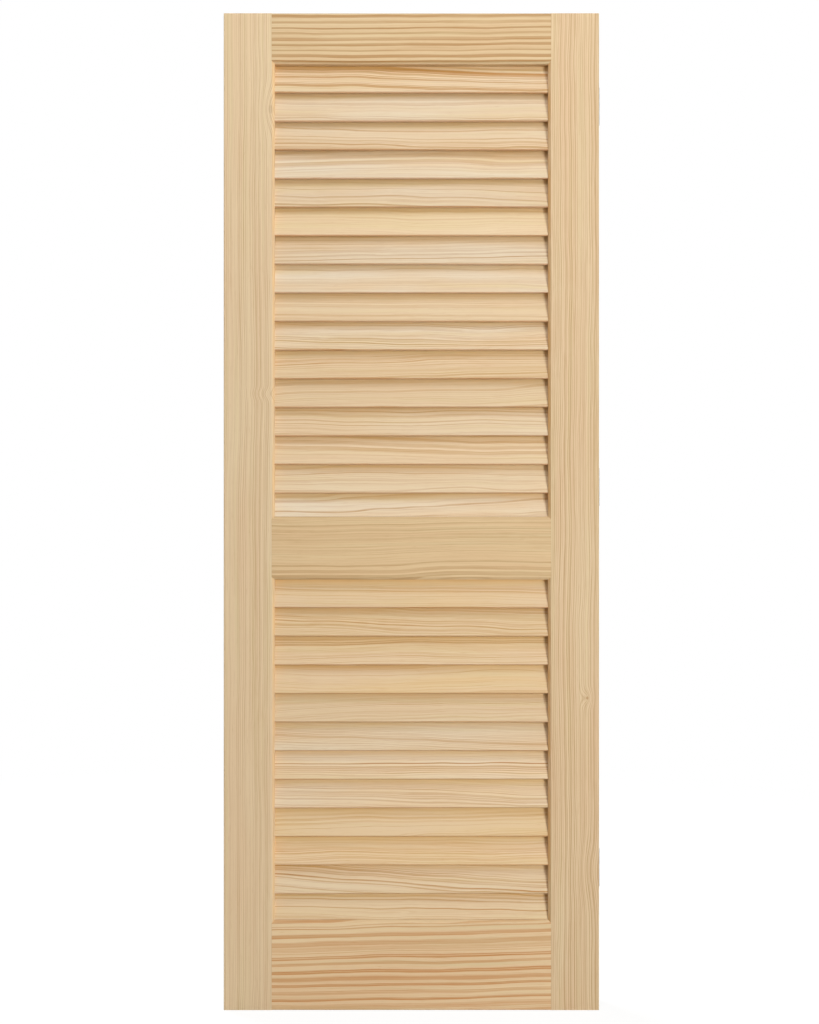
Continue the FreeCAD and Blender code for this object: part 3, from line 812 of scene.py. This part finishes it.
def lay_floor():
    """A pale floor that the camera sees as white, with the door's faint shadow near its foot."""
    bpy.ops.object.select_all(action="DESELECT")
    bpy.ops.mesh.primitive_plane_add(size=FLOOR_SIZE)
    floor = bpy.context.object
    floor.name = "studio_floor"
    material = bpy.data.materials.new("floor_paint")
    material.use_nodes = True
    nodes, links = material.node_tree.nodes, material.node_tree.links
    nodes.clear()
    for_light = nodes.new("ShaderNodeBsdfDiffuse")
    for_light.inputs["Color"].default_value = FLOOR_BOUNCE
    seen = nodes.new("ShaderNodeBsdfDiffuse")
    seen.inputs["Color"].default_value = FLOOR_SEEN
    glow = nodes.new("ShaderNodeEmission")
    glow.inputs["Strength"].default_value = FLOOR_GLOW
    near = nodes.new("ShaderNodeAddShader")
    far = nodes.new("ShaderNodeEmission")
    far.inputs["Strength"].default_value = 1.0
    place = nodes.new("ShaderNodeTexCoord")
    distance = nodes.new("ShaderNodeVectorMath")
    distance.operation = "LENGTH"
    fade = nodes.new("ShaderNodeMapRange")
    fade.inputs["From Min"].default_value = SHADOW_NEAR
    fade.inputs["From Max"].default_value = SHADOW_FAR
    for_camera = nodes.new("ShaderNodeMixShader")
    choose = nodes.new("ShaderNodeMixShader")
    out = nodes.new("ShaderNodeOutputMaterial")
    links.new(seen.outputs[0], near.inputs[0])
    links.new(glow.outputs[0], near.inputs[1])
    links.new(place.outputs["Object"], distance.inputs[0])
    links.new(distance.outputs["Value"], fade.inputs["Value"])
    links.new(fade.outputs["Result"], for_camera.inputs["Fac"])
    links.new(near.outputs[0], for_camera.inputs[1])
    links.new(far.outputs[0], for_camera.inputs[2])
    links.new(rays_that_see(nodes, links), choose.inputs["Fac"])
    links.new(for_light.outputs[0], choose.inputs[1])
    links.new(for_camera.outputs[0], choose.inputs[2])
    links.new(choose.outputs[0], out.inputs["Surface"])
    floor.data.materials.append(material)


def set_camera():
    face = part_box("front_top_rail")[0].y
    height = cad_box[1].z - cad_box[0].z
    camera = bpy.data.cameras.new("photo_camera")
    camera.sensor_width = SENSOR
    camera.lens = DOOR_PIXELS_HIGH / height * CAMERA_DISTANCE * SENSOR / FRAME_HIGH
    holder = bpy.data.objects.new("photo_camera", camera)
    bpy.context.scene.collection.objects.link(holder)
    holder.location = (CAMERA_X, face - CAMERA_DISTANCE, CAMERA_Z)
    holder.rotation_euler = (math.radians(90), 0, 0)
    bpy.context.scene.camera = holder
    bpy.context.scene.view_settings.view_transform = "Standard"


def finish_fittings():
    steel = zinc("hinge_zinc")
    bush_nylon = nylon("bush_nylon")
    dowel_beech = beech("dowel_beech")
    for place in ("top", "middle", "bottom"):
        for piece in ("front_wing", "rear_wing", "pin"):
            paint(f"{place}_hinge_{piece}", steel)
    make_screws(steel)
    for leaf in ("front", "rear"):
        paint(f"{leaf}_dowels", dowel_beech)
        for end in ("top", "bottom"):
            paint(f"{leaf}_{end}_bush", bush_nylon)


set_camera()
light_studio()
lay_floor()
finish_boards("front", 1)
finish_boards("rear", -1)
make_slats()
finish_fittings()
